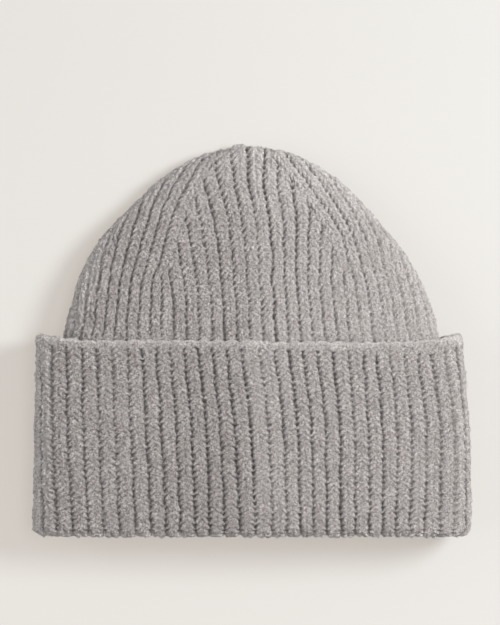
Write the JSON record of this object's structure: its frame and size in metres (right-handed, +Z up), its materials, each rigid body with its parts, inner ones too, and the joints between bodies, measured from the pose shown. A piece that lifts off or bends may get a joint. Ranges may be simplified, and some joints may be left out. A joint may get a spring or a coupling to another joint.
{
  "type": "cuffed beanie",
  "caption": "Chunky rib-knit cap with a deep turned-up cuff and a gathered tip, lying flat on its back, hollow and open at the mouth.",
  "frame": {"origin": "middle of the floor area under the cap as it lies on its back", "axes": "+Z up from the floor, +Y from the mouth to the tip, +X to the right seen from above with the tip away from the viewer"},
  "size_m": [0.229, 0.203, 0.0432],
  "materials": {
    "wool_knit": "light warm grey heathered wool, brushed and slightly fuzzy"
  },
  "bodies": {
    "root": {"crown": "wool_knit", "cuff": "wool_knit"}
  },
  "joints": []
}
